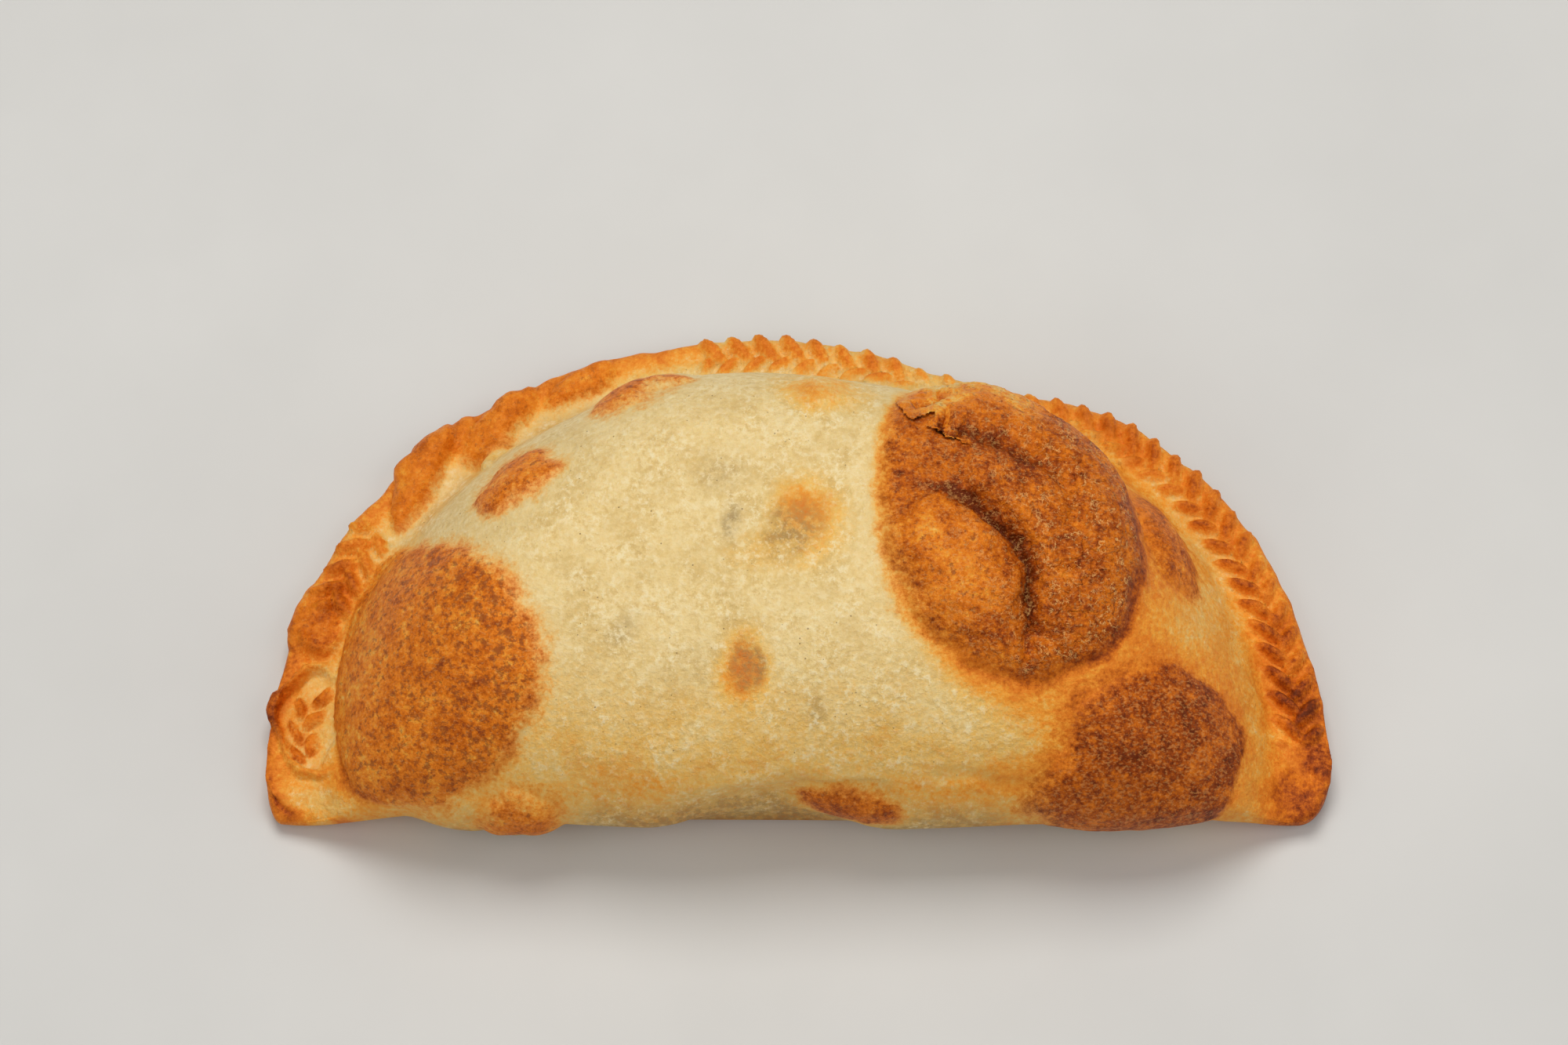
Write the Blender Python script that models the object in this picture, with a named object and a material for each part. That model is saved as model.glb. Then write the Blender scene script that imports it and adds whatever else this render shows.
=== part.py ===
"""A baked empanada: one half-moon of dough, folded along its straight front and sealed along its curved rim.

+X runs along the fold, +Y from the fold to the rim, +Z up. The origin is under the middle of the
bounding box, on the table. All sizes are in metres, and angles in degrees.

The body is a sphere whose poles are moved to the two tips and whose meridians become the rows along
the pie. Blisters, creases, crimps and the pressed ornament are then raised from it along its normals.
"""

import math
from typing import NamedTuple

import bmesh
import bpy
import numpy as np
from mathutils.kdtree import KDTree

MM = 0.001

# Driving sizes.
LENGTH = 140.0 * MM
DEPTH = 79.0 * MM
HEIGHT = 34.5 * MM
RIM_WIDTH = 8.8 * MM
RIM_THICKNESS = 4.4 * MM
FOLD_HEIGHT = 13.0 * MM
TRIANGLES = 9600

# The fine grid that the relief is worked on, before it is thinned to TRIANGLES.
COLUMNS = 420
ROWS_OVER_TOP = 84
ROWS_UNDER = 24

# The plan outline: a superellipse for the rim, and a bowed line with round corners for the fold.
HALF_LENGTH = LENGTH / 2
CORNER_DROP = 7.0 * MM
FOLD_BOW = 5.0 * MM
TIP_Y = CORNER_DROP + FOLD_BOW - DEPTH / 2
RIM_REACH = DEPTH - CORNER_DROP - FOLD_BOW
RIM_POWER = 2.2
LEFT_CORNER_RUN = 2.2 * MM
RIGHT_CORNER_RUN = 4.5 * MM
FLAT_SIDE_X = 25.0 * MM
FLAT_SIDE_WIDTH = 17.0 * MM
FLAT_SIDE_DEPTH = 4.6 * MM
BODY_FLAT_SHARE = 0.35
BODY_HALF_LENGTH = HALF_LENGTH - RIM_WIDTH
BODY_REACH = RIM_REACH - RIM_WIDTH

# How the filled body rises from the rim and from the fold.
CROWN_FALL = 0.20
BACK_RUN = 46.0 * MM
FRONT_RUN = 31.0 * MM
TIP_RUN = 3.0 * MM
TAPER_RUN = 22.0 * MM
RIM_ROUNDING = 2.4 * MM
RIM_UNDERCUT = 1.5 * MM
BELLY_RUN = 11.0 * MM
FOOT_SOFTNESS = 1.0 * MM

# The relief is laid out on a plane that leans back, squarely over the domed front.
LEAN = math.radians(60.0)
FADE_HEIGHT = 8.0


class Mound(NamedTuple):
    """An oval bump on the leaning plane, in mm and degrees. It fades out below its lowest height."""

    across: float
    up: float
    half_length: float
    half_width: float
    turn: float
    height: float
    flatness: float
    lowest: float = 0.0


class Welt(NamedTuple):
    """A raised ridge, or a groove if its height is negative, along a smooth path in mm."""

    path: tuple
    half_width: float
    height: float
    lowest: float = 0.0


MOUNDS = {
    "left blister": Mound(-46.7, -9.3, 16.8, 14.8, 90.0, 2.6, 0.8),
    "big blister": Mound(26.6, 9.3, 18.9, 17.0, 90.0, 3.0, 0.75, 16.0),
    "big blister lobe": Mound(20.3, 3.5, 10.5, 8.5, 105.0, 1.6, 1.2),
    "low right blister": Mound(46.0, -18.8, 12.0, 10.6, -12.0, 2.0, 0.8),
    "low right tail": Mound(33.0, -24.0, 7.0, 3.4, 12.0, 0.9, 1.2),
    "slanted blister": Mound(-36.4, 15.3, 6.4, 2.9, 35.0, 1.5, 0.8),
    "back left blister": Mound(-20.3, 27.2, 8.6, 3.1, 27.0, 1.7, 0.9, 14.0),
    "back blister": Mound(3.3, 27.8, 5.5, 2.6, 0.0, 0.8, 1.2, 18.0),
    "half moon blister": Mound(48.6, 7.0, 7.4, 3.0, -58.0, 1.6, 0.9),
    "back right blister": Mound(41.0, 19.5, 5.5, 2.2, -42.0, 0.9, 1.0),
    "fold blister": Mound(6.3, -25.8, 6.6, 2.6, -2.0, 1.9, 0.7),
    "fold bump": Mound(-35.4, -27.2, 5.8, 3.2, 0.0, 2.0, 1.0),
    "low right belly": Mound(44.0, -27.0, 17.0, 4.0, 0.0, 1.0, 1.2),
    "fold hollow": Mound(-5.0, -26.5, 10.0, 5.0, 0.0, -2.2, 1.4),
    "first crimp": Mound(-51.2, 15.9, 6.8, 3.0, 62.0, 2.8, 0.7),
    "second crimp": Mound(-46.6, 21.9, 3.6, 1.5, 52.0, 1.3, 0.9),
    "third crimp": Mound(-41.0, 22.4, 6.8, 3.2, 45.0, 2.6, 0.7),
    "fourth crimp": Mound(-30.4, 28.6, 6.2, 2.5, 30.0, 2.0, 0.8),
    "tip pocket": Mound(-64.2, -17.0, 6.6, 3.6, 84.0, -0.8, 0.7),
}

WELTS = {
    "crescent": Welt(
        ((13.0, 23.5), (21.0, 24.3), (29.0, 22.6), (35.5, 17.5), (38.8, 10.0), (38.8, 2.4), (35.6, -5.0)),
        5.6,
        2.6,
        16.0,
    ),
    "collapse": Welt(
        ((11.5, 16.5), (17.0, 15.8), (22.0, 14.3), (25.6, 11.0), (28.0, 6.5), (28.7, 0.5), (29.1, -9.0)),
        2.8,
        -2.3,
    ),
    "fold crease": Welt(((-2.0, -23.6), (5.0, -23.2), (13.0, -24.4)), 1.2, -0.8),
    "low fold": Welt(((16.0, -21.0), (23.0, -22.6), (31.0, -23.0)), 1.3, -0.5),
    "pocket lip": Welt(
        ((-62.6, -9.4), (-67.3, -12.2), (-68.3, -17.0), (-66.6, -21.6), (-61.6, -22.6)), 0.8, 0.8
    ),
    "upper pocket lip": Welt(((-66.6, -4.4), (-63.8, -7.0), (-60.6, -6.4)), 0.7, 0.4),
}

# The ornament: two rows of slanted wheat grains pressed into the rim, inside a smooth bead.
GRAIN_PITCH = 3.9 * MM
GRAIN_HALF_LENGTH = 2.0 * MM
GRAIN_HALF_WIDTH = 1.35 * MM
GRAIN_HEIGHT = 1.1 * MM
GRAIN_SLANT = 0.75
OUTER_ROW = 3.3 * MM
INNER_ROW = 5.9 * MM
BEAD_CENTRE = 1.4 * MM
BEAD_HALF_WIDTH = 1.5 * MM
BEAD_HEIGHT = 0.5 * MM
ORNAMENT_RUNS = ((0.135, 0.205), (0.435, 0.945))
RUN_FADE = 0.008

UNEVENNESS = 0.35 * MM


def smooth(t):
    """An S-curve from 0 to 1 as t goes from 0 to 1."""
    t = np.clip(t, 0.0, 1.0)
    return t * t * (3.0 - 2.0 * t)


def quarter_round(t, power=2.0, root=2.0):
    """0 to 1 along a superellipse's quarter: upright at t = 0 and level at t = 1."""
    return (1.0 - (1.0 - np.clip(t, 0.0, 1.0)) ** power) ** (1.0 / root)


def flat_side(x):
    """How far the rim is pressed in on the right of its back."""
    return FLAT_SIDE_DEPTH * np.exp(-(((x - FLAT_SIDE_X) / FLAT_SIDE_WIDTH) ** 2))


def measured(x, y):
    """A line's points, with the share of its length at each."""
    steps = np.hypot(np.diff(x), np.diff(y))
    along = np.concatenate([[0.0], np.cumsum(steps)])
    return along / along[-1], x, y


def rim_line():
    angle = np.linspace(math.pi, 0.0, 4001)
    x = HALF_LENGTH * np.sign(np.cos(angle)) * np.abs(np.cos(angle)) ** (2 / RIM_POWER)
    y = TIP_Y + RIM_REACH * np.abs(np.sin(angle)) ** (2 / RIM_POWER)
    return measured(x, y - flat_side(x) * np.abs(np.sin(angle)))


def fold_line():
    x = HALF_LENGTH * np.cos(np.linspace(math.pi, 0.0, 4001))
    corner_run = np.where(x < 0.0, LEFT_CORNER_RUN, RIGHT_CORNER_RUN)
    corner = quarter_round((HALF_LENGTH - np.abs(x)) / corner_run)
    bow = 1.0 - (x / HALF_LENGTH) ** 2
    return measured(x, TIP_Y - CORNER_DROP * corner - FOLD_BOW * bow)


RIM_LINE = rim_line()
FOLD_LINE = fold_line()


def on_line(line, share):
    along, x, y = line
    return np.interp(share, along, x), np.interp(share, along, y)


def body_inset(x, y):
    """How far a point lies inside the filled body's edge, where it meets the rim."""
    across = np.abs(x) / BODY_HALF_LENGTH
    back = np.maximum(y + BODY_FLAT_SHARE * flat_side(x) - TIP_Y, 0.0) / BODY_REACH
    inside = 1.0 - across**RIM_POWER - back**RIM_POWER
    slope = RIM_POWER * np.hypot(
        across ** (RIM_POWER - 1) / BODY_HALF_LENGTH,
        back ** (RIM_POWER - 1) / BODY_REACH,
    )
    return inside / np.maximum(slope, 1.0)


def fullness(x):
    """1 along the filled part of the fold, falling to 0 at the flat tips."""
    return smooth((HALF_LENGTH - 2.0 * MM - np.abs(x)) / TAPER_RUN)


def edge_height(x, from_fold, from_rim):
    """The height of the widest line: high along the fold and half the rim's thickness at the rim."""
    fold = RIM_THICKNESS / 2 + (FOLD_HEIGHT - RIM_THICKNESS / 2) * fullness(x)
    across = smooth(from_fold / (from_fold + from_rim))
    return fold + (RIM_THICKNESS / 2 - fold) * across


def top_height(x, y, from_fold, from_rim):
    rise = FOOT_SOFTNESS * np.logaddexp(0.0, body_inset(x, y) / FOOT_SOFTNESS)
    crown = HEIGHT * (1.0 - CROWN_FALL * (x / HALF_LENGTH) ** 2)
    plateau = RIM_THICKNESS + (crown - RIM_THICKNESS) * quarter_round(rise / BACK_RUN, 3.0, 1.25)
    edge = edge_height(x, from_fold, from_rim)
    fold_run = TIP_RUN + (FRONT_RUN - TIP_RUN) * fullness(x)
    lift = quarter_round(from_fold / fold_run, 2.2, 2.0) * quarter_round(from_rim / RIM_ROUNDING)
    return edge + (plateau - edge) * lift


def under_height(x, from_fold, from_rim):
    belly = RIM_UNDERCUT + (BELLY_RUN - RIM_UNDERCUT) * fullness(x)
    drop = quarter_round(from_fold / belly) * quarter_round(from_rim / RIM_UNDERCUT)
    return edge_height(x, from_fold, from_rim) * (1.0 - drop)


def section(share, under):
    """Dense points of one cross-section, from the fold to the rim, over the top or under."""
    fold_x, fold_y = on_line(FOLD_LINE, share)
    rim_x, rim_y = on_line(RIM_LINE, share)
    way = 0.5 - 0.5 * np.cos(np.linspace(0.0, math.pi, 401))
    x = fold_x + (rim_x - fold_x) * way
    y = fold_y + (rim_y - fold_y) * way
    length = math.hypot(rim_x - fold_x, rim_y - fold_y)
    from_fold = way * length
    from_rim = (1.0 - way) * length
    if under:
        z = under_height(x, from_fold, from_rim)
    else:
        z = top_height(x, y, from_fold, from_rim)
    return np.stack([x, y, z], axis=1)


def spread(points, count):
    """count + 1 points, spaced evenly along the given ones."""
    steps = np.linalg.norm(np.diff(points, axis=0), axis=1)
    along = np.concatenate([[0.0], np.cumsum(steps)])
    wanted = np.linspace(0.0, along[-1], count + 1)
    return np.stack([np.interp(wanted, along, axis) for axis in points.T], axis=1)


def shape_body(bm):
    """Move each vertex of the sphere to its place on the smooth body."""
    around = ROWS_OVER_TOP + ROWS_UNDER
    rings = {}
    for step in range(1, COLUMNS):
        over = spread(section(step / COLUMNS, False), ROWS_OVER_TOP)
        under = spread(section(step / COLUMNS, True), ROWS_UNDER)
        rings[step] = np.concatenate([over[:-1], under[:0:-1]])
    for vertex in bm.verts:
        polar = math.acos(max(-1.0, min(1.0, vertex.co.z)))
        step = round(polar / math.pi * COLUMNS)
        if step in (0, COLUMNS):
            side = -1.0 if step == 0 else 1.0
            vertex.co = (side * HALF_LENGTH, TIP_Y, RIM_THICKNESS / 2)
            continue
        turn = math.atan2(vertex.co.y, vertex.co.x) / (2 * math.pi) * around
        vertex.co = rings[step][round(turn) % around]
    if bm.calc_volume(signed=True) < 0:
        bmesh.ops.reverse_faces(bm, faces=bm.faces)


def above(lowest, height):
    """1 well above the lowest height of a feature and 0 below it."""
    return smooth((height - lowest) / FADE_HEIGHT) if lowest else 1.0


def mound_relief(mound, across, up, height):
    turn = math.radians(mound.turn)
    right = across - mound.across
    over = up - mound.up
    along = (right * math.cos(turn) + over * math.sin(turn)) / mound.half_length
    aside = (over * math.cos(turn) - right * math.sin(turn)) / mound.half_width
    dome = np.maximum(1.0 - along**2 - aside**2, 0.0) ** mound.flatness
    return mound.height * dome * above(mound.lowest, height)


def smooth_path(corners, per_leg=10):
    """Points of a Catmull-Rom curve through the corners."""
    corners = np.array(corners)
    padded = np.concatenate([[2 * corners[0] - corners[1]], corners, [2 * corners[-1] - corners[-2]]])
    t = np.linspace(0.0, 1.0, per_leg, endpoint=False)[:, None]
    legs = []
    for before, start, end, after in zip(padded, padded[1:], padded[2:], padded[3:]):
        bend = (2 * before - 5 * start + 4 * end - after) * t**2
        twist = (3 * (start - end) + after - before) * t**3
        legs.append(start + 0.5 * ((end - before) * t + bend + twist))
    return np.concatenate([*legs, corners[-1:]])


def welt_relief(welt, across, up, height):
    path = smooth_path(welt.path)
    gaps = np.hypot(across[:, None] - path[:, 0], up[:, None] - path[:, 1])
    nearest = gaps.argmin(axis=1)
    share = nearest / (len(path) - 1)
    ends = smooth(share * 4.0) * smooth((1.0 - share) * 4.0)
    wall = 1.0 - smooth(gaps.min(axis=1) / welt.half_width)
    return welt.height * ends * wall * above(welt.lowest, height)


def rim_coordinates(points):
    """The share of the rim's length nearest each point, and the distance in from the rim."""
    along, x, y = RIM_LINE
    tree = KDTree(len(x))
    for index, place in enumerate(zip(x, y)):
        tree.insert((*place, 0.0), index)
    tree.balance()
    found = [tree.find((px, py, 0.0)) for px, py in points[:, :2]]
    share = np.array([along[index] for _, index, _ in found])
    inward = np.array([distance for _, _, distance in found])
    return share, inward


def grain_row(along, inward, row, slant, shift):
    """One row of oval grains, each leaning along the rim by slant."""
    inside = inward - row
    place = (along - slant * inside) / GRAIN_PITCH - shift
    number = np.round(place)
    aside = (place - number) * GRAIN_PITCH / GRAIN_HALF_WIDTH
    size = 1.0 + 0.12 * np.sin(12.9898 * number + row / MM)
    reach = inside / (GRAIN_HALF_LENGTH * size)
    return GRAIN_HEIGHT * size * np.sqrt(np.maximum(1.0 - aside**2 - reach**2, 0.0))


def rim_relief(points):
    share, inward = rim_coordinates(points)
    length = np.hypot(np.diff(RIM_LINE[1]), np.diff(RIM_LINE[2])).sum()
    along = share * length
    grains = grain_row(along, inward, OUTER_ROW, GRAIN_SLANT, 0.0)
    grains = np.maximum(grains, grain_row(along, inward, INNER_ROW, -GRAIN_SLANT, 0.5))
    here = np.zeros(len(points))
    for start, end in ORNAMENT_RUNS:
        here += smooth((share - start) / RUN_FADE) * smooth((end - share) / RUN_FADE)
    bead = 1.0 - ((inward - BEAD_CENTRE) / BEAD_HALF_WIDTH) ** 2
    return grains * here + BEAD_HEIGHT * np.sqrt(np.maximum(bead, 0.0))


def raise_relief(bm):
    """Push every vertex that faces the leaning plane out along its normal by the relief there."""
    bm.normal_update()
    points = np.array([vertex.co for vertex in bm.verts])
    normals = np.array([vertex.normal for vertex in bm.verts])
    across = points[:, 0] / MM
    up = (points[:, 1] * math.sin(LEAN) + points[:, 2] * math.cos(LEAN)) / MM
    height = points[:, 2] / MM
    relief = sum(mound_relief(mound, across, up, height) for mound in MOUNDS.values())
    relief = relief + sum(welt_relief(welt, across, up, height) for welt in WELTS.values())
    facing = normals @ np.array([0.0, -math.cos(LEAN), math.sin(LEAN)])
    relief = relief * MM * smooth((facing + 0.35) / 0.3)
    waves = np.sin(across / 6.1 + 1.0) * np.cos(up / 7.3) + np.sin(across / 11.0 - up / 9.0)
    body = smooth(body_inset(points[:, 0], points[:, 1]) / (6.0 * MM))
    upward = smooth(normals[:, 2] * 2.0)
    relief = relief + UNEVENNESS * waves * body * upward
    relief = relief + rim_relief(points) * upward * (1.0 - body)
    moved = points + normals * relief[:, None]
    middle = (moved.min(axis=0) + moved.max(axis=0)) / 2
    middle[2] = 0.0
    for vertex, place in zip(bm.verts, moved - middle):
        vertex.co = place


def empanada_mesh():
    bm = bmesh.new()
    around = ROWS_OVER_TOP + ROWS_UNDER
    bmesh.ops.create_uvsphere(bm, u_segments=around, v_segments=COLUMNS, radius=1.0)
    shape_body(bm)
    raise_relief(bm)
    mesh = bpy.data.meshes.new("empanada")
    bm.to_mesh(mesh)
    bm.free()
    mesh.shade_smooth()
    return mesh


def baked_dough():
    material = bpy.data.materials.new("baked_dough")
    material.use_nodes = True
    shader = material.node_tree.nodes["Principled BSDF"]
    shader.inputs["Base Color"].default_value = (0.60, 0.37, 0.14, 1.0)
    shader.inputs["Roughness"].default_value = 0.62
    shader.inputs["Metallic"].default_value = 0.0
    return material


def thin_out(obj):
    """Merge triangles where the surface is flat, and keep them where it bends."""
    decimate = obj.modifiers.new("thin out", "DECIMATE")
    decimate.decimate_type = "COLLAPSE"
    decimate.ratio = TRIANGLES / (2 * COLUMNS * (ROWS_OVER_TOP + ROWS_UNDER))
    decimate.use_collapse_triangulate = True


def main():
    for obj in list(bpy.data.objects):
        bpy.data.objects.remove(obj, do_unlink=True)
    collection = bpy.data.collections.new("baked_empanada")
    bpy.context.scene.collection.children.link(collection)
    empanada = bpy.data.objects.new("empanada", empanada_mesh())
    empanada.data.materials.append(baked_dough())
    collection.objects.link(empanada)
    thin_out(empanada)


main()
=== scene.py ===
"""The looks of a baked empanada: its blistered crust, crimps, pressed rim and browning, around the CAD solid."""

import math
from typing import NamedTuple

import bmesh
import bpy
import numpy as np
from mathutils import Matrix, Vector, noise
from mathutils.bvhtree import BVHTree
from mathutils.kdtree import KDTree


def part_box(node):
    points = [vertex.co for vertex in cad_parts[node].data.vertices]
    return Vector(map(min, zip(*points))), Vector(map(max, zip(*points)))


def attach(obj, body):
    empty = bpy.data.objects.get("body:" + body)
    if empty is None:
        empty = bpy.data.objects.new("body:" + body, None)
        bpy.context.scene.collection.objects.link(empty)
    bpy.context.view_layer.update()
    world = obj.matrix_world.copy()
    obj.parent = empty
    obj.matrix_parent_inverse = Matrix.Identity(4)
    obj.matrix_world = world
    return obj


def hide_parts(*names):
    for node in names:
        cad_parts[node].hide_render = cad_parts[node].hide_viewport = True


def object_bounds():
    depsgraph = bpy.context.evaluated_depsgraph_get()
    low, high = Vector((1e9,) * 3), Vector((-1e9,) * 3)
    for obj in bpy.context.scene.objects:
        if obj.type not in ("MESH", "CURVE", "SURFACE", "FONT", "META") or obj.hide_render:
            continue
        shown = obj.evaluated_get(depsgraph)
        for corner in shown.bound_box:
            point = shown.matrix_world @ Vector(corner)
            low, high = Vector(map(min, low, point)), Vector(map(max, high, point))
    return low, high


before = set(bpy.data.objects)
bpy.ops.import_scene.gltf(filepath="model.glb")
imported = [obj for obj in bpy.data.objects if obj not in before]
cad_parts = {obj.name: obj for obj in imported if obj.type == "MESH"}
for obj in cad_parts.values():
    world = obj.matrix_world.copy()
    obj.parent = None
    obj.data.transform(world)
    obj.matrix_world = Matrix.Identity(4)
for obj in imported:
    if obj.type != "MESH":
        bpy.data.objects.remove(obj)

CAD_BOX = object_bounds()
MM = 0.001

# ---------------------------------------------------------------------------
# The smooth body. These are the CAD solid's own sizes.
# ---------------------------------------------------------------------------

LENGTH = 140.0 * MM
DEPTH = 79.0 * MM
HEIGHT = 34.5 * MM
RIM_WIDTH = 8.8 * MM
RIM_THICKNESS = 4.4 * MM
FOLD_HEIGHT = 13.0 * MM

COLUMNS = 400
ROWS_OVER_TOP = 220
ROWS_UNDER = 28

HALF_LENGTH = LENGTH / 2
CORNER_DROP = 7.0 * MM
FOLD_BOW = 5.0 * MM
TIP_Y = CORNER_DROP + FOLD_BOW - DEPTH / 2
RIM_REACH = DEPTH - CORNER_DROP - FOLD_BOW
RIM_POWER = 2.2
LEFT_CORNER_RUN = 2.2 * MM
RIGHT_CORNER_RUN = 4.5 * MM
FLAT_SIDE_X = 25.0 * MM
FLAT_SIDE_WIDTH = 17.0 * MM
FLAT_SIDE_DEPTH = 4.6 * MM
BODY_FLAT_SHARE = 0.35
BODY_HALF_LENGTH = HALF_LENGTH - RIM_WIDTH
BODY_REACH = RIM_REACH - RIM_WIDTH

CROWN_FALL = 0.20
BACK_RUN = 46.0 * MM
FRONT_RUN = 31.0 * MM
TIP_RUN = 3.0 * MM
TAPER_RUN = 22.0 * MM
RIM_ROUNDING = 2.4 * MM
RIM_UNDERCUT = 1.5 * MM
BELLY_RUN = 11.0 * MM
FOOT_SOFTNESS = 1.0 * MM

# Everything on the surface is placed on a plane that leans back, squarely over the domed front.
LEAN = math.radians(60.0)
FACE = (0.0, -math.cos(LEAN), math.sin(LEAN))
PRESSED = 0.5
FADE_HEIGHT = 8.0


def smooth(t):
    """An S-curve from 0 to 1 as t goes from 0 to 1."""
    t = np.clip(t, 0.0, 1.0)
    return t * t * (3.0 - 2.0 * t)


def quarter_round(t, power=2.0, root=2.0):
    """0 to 1 along a superellipse's quarter: upright at t = 0 and level at t = 1."""
    return (1.0 - (1.0 - np.clip(t, 0.0, 1.0)) ** power) ** (1.0 / root)


def flat_side(x):
    """How far the rim is pressed in on the right of its back."""
    return FLAT_SIDE_DEPTH * np.exp(-(((x - FLAT_SIDE_X) / FLAT_SIDE_WIDTH) ** 2))


def measured(x, y):
    """A line's points, with the share of its length at each."""
    steps = np.hypot(np.diff(x), np.diff(y))
    along = np.concatenate([[0.0], np.cumsum(steps)])
    return along / along[-1], x, y


def rim_line():
    angle = np.linspace(math.pi, 0.0, 4001)
    x = HALF_LENGTH * np.sign(np.cos(angle)) * np.abs(np.cos(angle)) ** (2 / RIM_POWER)
    y = TIP_Y + RIM_REACH * np.abs(np.sin(angle)) ** (2 / RIM_POWER)
    return measured(x, y - flat_side(x) * np.abs(np.sin(angle)))


def fold_line():
    x = HALF_LENGTH * np.cos(np.linspace(math.pi, 0.0, 4001))
    corner_run = np.where(x < 0.0, LEFT_CORNER_RUN, RIGHT_CORNER_RUN)
    corner = quarter_round((HALF_LENGTH - np.abs(x)) / corner_run)
    bow = 1.0 - (x / HALF_LENGTH) ** 2
    return measured(x, TIP_Y - CORNER_DROP * corner - FOLD_BOW * bow)


RIM_LINE = rim_line()
FOLD_LINE = fold_line()
RIM_LENGTH = np.hypot(np.diff(RIM_LINE[1]), np.diff(RIM_LINE[2])).sum()


def on_line(line, share):
    along, x, y = line
    return np.interp(share, along, x), np.interp(share, along, y)


def body_inset(x, y):
    """How far a point lies inside the filled body's edge, where it meets the rim."""
    across = np.abs(x) / BODY_HALF_LENGTH
    back = np.maximum(y + BODY_FLAT_SHARE * flat_side(x) - TIP_Y, 0.0) / BODY_REACH
    inside = 1.0 - across**RIM_POWER - back**RIM_POWER
    slope = RIM_POWER * np.hypot(
        across ** (RIM_POWER - 1) / BODY_HALF_LENGTH,
        back ** (RIM_POWER - 1) / BODY_REACH,
    )
    return inside / np.maximum(slope, 1.0)


def fullness(x):
    """1 along the filled part of the fold, falling to 0 at the flat tips."""
    return smooth((HALF_LENGTH - 2.0 * MM - np.abs(x)) / TAPER_RUN)


def edge_height(x, from_fold, from_rim):
    """The height of the widest line: high along the fold and half the rim's thickness at the rim."""
    fold = RIM_THICKNESS / 2 + (FOLD_HEIGHT - RIM_THICKNESS / 2) * fullness(x)
    across = smooth(from_fold / (from_fold + from_rim))
    return fold + (RIM_THICKNESS / 2 - fold) * across


def top_height(x, y, from_fold, from_rim):
    rise = FOOT_SOFTNESS * np.logaddexp(0.0, body_inset(x, y) / FOOT_SOFTNESS)
    crown = HEIGHT * (1.0 - CROWN_FALL * (x / HALF_LENGTH) ** 2)
    plateau = RIM_THICKNESS + (crown - RIM_THICKNESS) * quarter_round(rise / BACK_RUN, 3.0, 1.25)
    edge = edge_height(x, from_fold, from_rim)
    fold_run = TIP_RUN + (FRONT_RUN - TIP_RUN) * fullness(x)
    lift = quarter_round(from_fold / fold_run, 2.2, 2.0) * quarter_round(from_rim / RIM_ROUNDING)
    return edge + (plateau - edge) * lift


def under_height(x, from_fold, from_rim):
    belly = RIM_UNDERCUT + (BELLY_RUN - RIM_UNDERCUT) * fullness(x)
    drop = quarter_round(from_fold / belly) * quarter_round(from_rim / RIM_UNDERCUT)
    return edge_height(x, from_fold, from_rim) * (1.0 - drop)


def section(share, under):
    """Dense points of one cross-section, from the fold to the rim, over the top or under."""
    fold_x, fold_y = on_line(FOLD_LINE, share)
    rim_x, rim_y = on_line(RIM_LINE, share)
    way = 0.5 - 0.5 * np.cos(np.linspace(0.0, math.pi, 801))
    x = fold_x + (rim_x - fold_x) * way
    y = fold_y + (rim_y - fold_y) * way
    length = math.hypot(rim_x - fold_x, rim_y - fold_y)
    from_fold = way * length
    from_rim = (1.0 - way) * length
    if under:
        z = under_height(x, from_fold, from_rim)
    else:
        z = top_height(x, y, from_fold, from_rim)
    return np.stack([x, y, z], axis=1)


def spread(points, count):
    """count + 1 points, spaced evenly along the given ones."""
    steps = np.linalg.norm(np.diff(points, axis=0), axis=1)
    along = np.concatenate([[0.0], np.cumsum(steps)])
    wanted = np.linspace(0.0, along[-1], count + 1)
    return np.stack([np.interp(wanted, along, axis) for axis in points.T], axis=1)


def body_mesh():
    """A sphere with its poles at the tips, each vertex moved to its place on the smooth body.

    The rows add up to a multiple of four, because then the sphere starts its rings on a whole row.
    """
    around = ROWS_OVER_TOP + ROWS_UNDER
    bm = bmesh.new()
    bmesh.ops.create_uvsphere(bm, u_segments=around, v_segments=COLUMNS, radius=1.0)
    mesh = bpy.data.meshes.new("crust")
    bm.to_mesh(mesh)
    bm.free()
    sphere = read_points(mesh)
    step = np.rint(np.arccos(np.clip(sphere[:, 2], -1.0, 1.0)) / math.pi * COLUMNS).astype(int)
    turn = np.arctan2(sphere[:, 1], sphere[:, 0]) / (2 * math.pi) * around
    turn = np.rint(turn).astype(int) % around
    tip = np.tile([HALF_LENGTH, TIP_Y, RIM_THICKNESS / 2], (around, 1))
    rings = [tip * (-1.0, 1.0, 1.0)]
    for column in range(1, COLUMNS):
        over = spread(section(column / COLUMNS, False), ROWS_OVER_TOP)
        under = spread(section(column / COLUMNS, True), ROWS_UNDER)
        rings.append(np.concatenate([over[:-1], under[:0:-1]]))
    rings.append(tip)
    write_points(mesh, np.array(rings)[step, turn])
    if upside_down(mesh):
        mesh.flip_normals()
    return mesh


def upside_down(mesh):
    """Whether the faces point inwards, seen from the lowest face."""
    lowest = min(mesh.polygons, key=lambda face: face.center.z)
    return lowest.normal.z > 0.0


def read_points(mesh):
    flat = np.empty(len(mesh.vertices) * 3, np.float32)
    mesh.vertices.foreach_get("co", flat)
    return flat.reshape(-1, 3).astype(float)


def write_points(mesh, points):
    mesh.vertices.foreach_set("co", points.astype(np.float32).ravel())
    mesh.update()


def read_normals(mesh):
    flat = np.empty(len(mesh.vertices) * 3, np.float32)
    mesh.vertex_normals.foreach_get("vector", flat)
    return flat.reshape(-1, 3).astype(float)


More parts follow.
